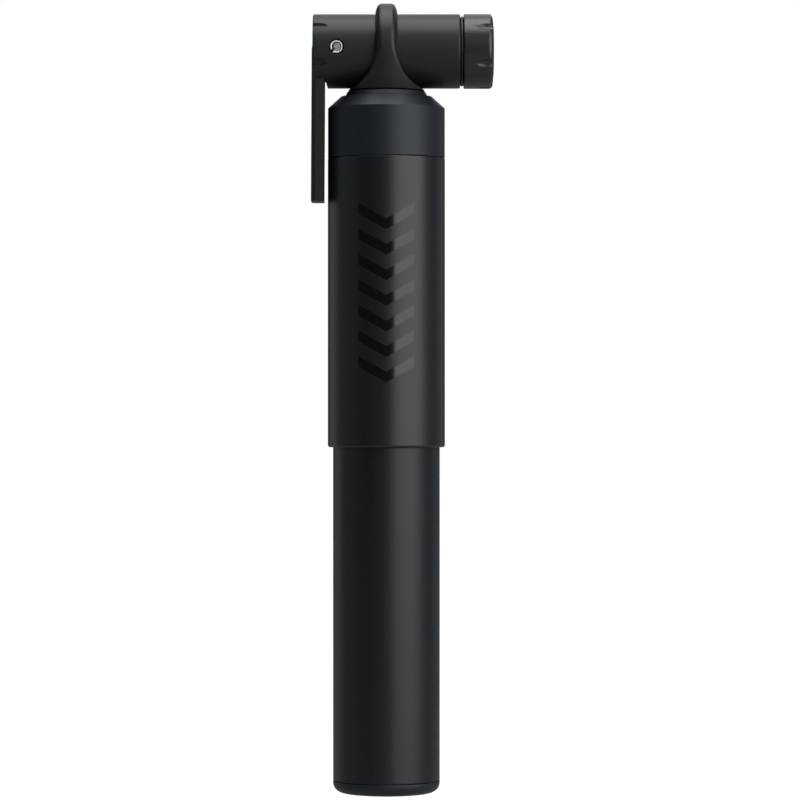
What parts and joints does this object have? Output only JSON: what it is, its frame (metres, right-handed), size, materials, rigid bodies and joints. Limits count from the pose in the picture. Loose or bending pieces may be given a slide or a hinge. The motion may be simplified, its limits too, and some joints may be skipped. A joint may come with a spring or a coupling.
{
  "type": "mini pump",
  "caption": "Slim telescopic hand pump with a cross-mounted valve chuck, a swinging lock lever and a screw-off chuck cap.",
  "frame": {"origin": "centre of the handle's flat end face, on the pump's axis", "axes": "+Z along the pump from the handle to the head; +X towards the chuck's screw cap; the front is -Y"},
  "size_m": [0.0418, 0.027, 0.1819],
  "materials": {
    "anodised_black": "black anodised, fine matte blast",
    "satin_black": "black anodised, satin turned",
    "head_black": "black anodised, satin",
    "cap_black": "black anodised, semi-gloss",
    "lever_black": "black anodised, satin",
    "guide_plastic": "moulded acetal",
    "seal_rubber": "black nitrile rubber",
    "bright_steel": "ground steel",
    "bare_alloy": "drawn bare aluminium",
    "seat_brass": "turned brass"
  },
  "bodies": {
    "pump_body": {"outer_sleeve": "anodised_black", "sleeve_bushing": "guide_plastic", "collar": "satin_black", "barrel": "bare_alloy", "barrel_seal": "seal_rubber", "rod_guide": "guide_plastic", "valve_seat": "seat_brass", "check_spring": "bright_steel", "yoke_head": "head_black", "spigot_o_ring": "seal_rubber", "chuck_housing": "head_black", "yoke_o_ring_left": "seal_rubber", "yoke_o_ring_right": "seal_rubber", "valve_gasket": "seal_rubber", "cap_o_ring": "seal_rubber", "lever_pin": "bright_steel"},
    "handle": {"handle_end_cap": "satin_black", "end_cap_o_ring": "seal_rubber", "handle_tube": "anodised_black", "handle_guide_ring": "guide_plastic", "piston_rod": "bright_steel", "piston_head": "guide_plastic", "piston_o_ring": "seal_rubber", "piston_nut": "bright_steel", "stop_bumper": "seal_rubber"},
    "lever": {"lock_lever": "lever_black"},
    "plunger": {"plunger": "guide_plastic", "plunger_o_ring": "seal_rubber"},
    "cap_carrier": {"cap_washer": "guide_plastic"},
    "cap": {"chuck_cap": "cap_black"},
    "ball": {"check_ball": "bright_steel"}
  },
  "joints": [
    {"name": "handle_stroke", "type": "slide", "parent": "pump_body", "child": "handle", "axis": [0, 0, -1], "range_m": [0, 0.056]},
    {"name": "lever_swing", "type": "hinge", "parent": "pump_body", "child": "lever", "pos_m": [-0.0114, 0, 0.1713], "axis": [0, 1, 0], "range_deg": [0, 90]},
    {"name": "plunger_push", "type": "slide", "parent": "pump_body", "child": "plunger", "axis": [1, 0, 0], "range_m": [0, 0.0015], "deforming": ["valve_gasket"]},
    {"name": "cap_turn", "type": "hinge", "parent": "cap_carrier", "child": "cap", "pos_m": [0.0214, 0, 0.1709], "axis": [1, 0, 0], "range_deg": [0, 1440]},
    {"name": "cap_travel", "type": "slide", "parent": "pump_body", "child": "cap_carrier", "axis": [1, 0, 0], "range_m": [0, 0.004]},
    {"name": "ball_lift", "type": "slide", "parent": "pump_body", "child": "ball", "axis": [0, 0, 1], "range_m": [0, 0.0008], "stiffness_N_per_m": 20, "springref_m": -0.0005, "deforming": ["check_spring"]}
  ],
  "couplings": [
    {"joint": "plunger_push", "follows": "lever_swing", "m_per_rad": 0.00095493},
    {"joint": "cap_travel", "follows": "cap_turn", "m_per_rad": 0.00015915}
  ]
}
